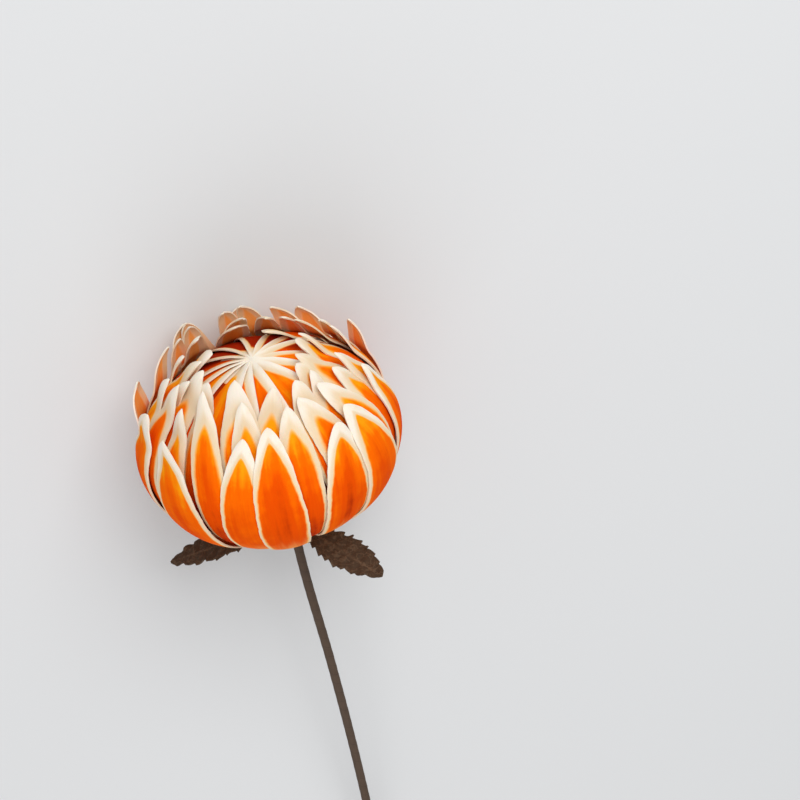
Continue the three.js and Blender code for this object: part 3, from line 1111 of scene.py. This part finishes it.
# ---- Stem ----
@dataclass
class Stem:
    """The wrapped wire, from inside the core to its cut end."""

    ball: Ball
    bow: float = 2 * MM
    socket_depth: float = 16 * MM
    straight: float = 53 * MM
    clearance: float = 0.3 * MM  # at the end of the socket
    thread: float = 0.02  # how much the wrapping stands out, as a share of the radius
    thread_pace: float = 260
    bow_start: float = 4
    weld: float = 0.01 * MM
    sides: int = 24
    steps: int = 150

    def build(self) -> list[Piece]:
        """Builds the stem and returns it in a list."""
        select()
        bpy.ops.mesh.primitive_grid_add(x_subdivisions=self.sides, y_subdivisions=self.steps, size=2)
        stem = bpy.context.active_object
        stem.name = "wrapped_stem"
        mesh = stem.data
        flat = read_points(mesh)
        turn = -np.pi * flat[:, 0]
        s = (flat[:, 1] + 1) / 2
        start = self.socket_depth - self.ball.core_base - self.clearance
        height = blend(start, -self.ball.stem_reach, s)
        below = np.clip((-self.straight - height) / (self.ball.stem_reach - self.straight), 0, 1)
        radius = self.ball.stem_radius * (1 + self.thread * np.sin(s * self.thread_pace + 2 * turn))
        bow = self.bow * np.sin(np.pi * below)
        bow = bow * np.sin(np.pi / 2 * np.clip(below * self.bow_start, 0, 1))
        points = np.stack((radius * np.cos(turn), bow + radius * np.sin(turn), height), axis=-1)
        write_points(mesh, self.ball.lay_down(points))
        unroll(mesh, (flat[:, 0] + 1) / 2, s * ((start + self.ball.stem_reach) / CM))
        mesh.materials.append(STEM_WRAP.build())
        bpy.ops.object.mode_set(mode="EDIT")
        bpy.ops.mesh.select_all(action="SELECT")
        bpy.ops.mesh.remove_doubles(threshold=self.weld)
        bpy.ops.mesh.select_all(action="DESELECT")
        bpy.ops.mesh.select_non_manifold()
        bpy.ops.mesh.edge_face_add()
        bpy.ops.mesh.select_all(action="SELECT")
        bpy.ops.mesh.normals_make_consistent(inside=False)
        bpy.ops.object.mode_set(mode="OBJECT")
        finish_mesh(stem)
        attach(stem, "root")
        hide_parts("stem")
        return [stem]


# ---- Studio ----
@dataclass
class Studio:
    """The floor, the lights and the camera."""

    ball: Ball
    elevation: float = 35  # of the camera over the ball's equator
    roll: float = 14
    distance: float = 650 * MM
    frame_width: float = 266.7 * MM  # what the frame spans at the head
    head_pixel: tuple[float, float] = (270, 432)
    pixels: float = 800

    def camera(self) -> None:
        """Sets the camera so that the head is seen from where it should be, at its place in the frame."""
        matrix = self.ball.to_part
        centre = matrix.translation
        lift = math.radians(self.elevation)
        turn = matrix.to_3x3()
        view = turn @ Vector((math.cos(lift), 0, math.sin(lift)))
        straight_up = turn @ Vector((-math.sin(lift), 0, math.cos(lift)))
        right = straight_up.cross(view)
        roll = math.radians(self.roll)
        up = straight_up * math.cos(roll) + right * math.sin(roll)
        right = up.cross(view)
        pitch = self.frame_width / self.pixels
        aim = centre + right * (self.pixels / 2 - self.head_pixel[0]) * pitch
        aim = aim + up * (self.head_pixel[1] - self.pixels / 2) * pitch
        place = centre + view * self.distance
        back = (place - aim).normalized()
        across = up.cross(back).normalized()
        upright = back.cross(across)
        bpy.ops.object.camera_add(location=place)
        camera = bpy.context.active_object
        camera.name = "camera"
        rows = Matrix((across, upright, back)).transposed()
        camera.matrix_world = Matrix.Translation(place) @ rows.to_4x4()
        camera.data.sensor_width = 36
        camera.data.lens = 36 * (place - aim).length / self.frame_width
        bpy.context.scene.camera = camera

    def light(self, name: str, place: Colour, size: float, power: float, colour: Colour = (1, 1, 1)) -> None:
        """Adds a square soft light that points at the head.

        Args:
            name: Its name.
            place: Where it stands.
            size: The length of its side.
            power: Its power in watts.
            colour: Its colour.
        """
        aim = Vector((0, 0, self.ball.radius))
        turn = (Vector(place) - aim).to_track_quat("Z", "Y").to_euler()
        bpy.ops.object.light_add(type="AREA", location=place, rotation=turn)
        light = bpy.context.active_object
        light.name = name
        light.data.size = size
        light.data.energy = power
        light.data.color = colour

    def build(self) -> None:
        """Builds the floor, the lights, the surroundings and the camera."""
        select()
        bpy.ops.mesh.primitive_plane_add(size=6, location=(0, 0, 0))
        floor = bpy.context.active_object
        floor.name = "floor"
        material, _, shader = Finish("pale_floor", "", 0.95, 0.1).start()
        shader.inputs["Base Color"].default_value = (0.69, 0.70, 0.71, 1)
        floor.data.materials.append(material)
        self.light("key_light", (0.28, 0.72, 0.90), 0.7, 7.6)
        self.light("fill_light", (-0.35, -0.75, 0.9), 1.0, 4.0)
        world = bpy.data.worlds.new("surroundings")
        world.use_nodes = True
        world.node_tree.nodes["Background"].inputs["Color"].default_value = (1, 1, 1, 1)
        world.node_tree.nodes["Background"].inputs["Strength"].default_value = 0.56
        bpy.context.scene.world = world
        bpy.context.scene.view_settings.view_transform = "Standard"
        self.camera()


def main() -> None:
    """Builds the flower and the studio."""
    logging.basicConfig(level=logging.INFO, format="%(name)s: %(message)s")
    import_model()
    ball = Ball()
    Studio(ball).build()
    for part in (Bloom(ball), Calyx(ball), Stem(ball)):
        for piece in part.build():
            LOG.info("%s has %d faces", piece.name, len(piece.data.polygons))


if __name__ == "__main__":
    main()
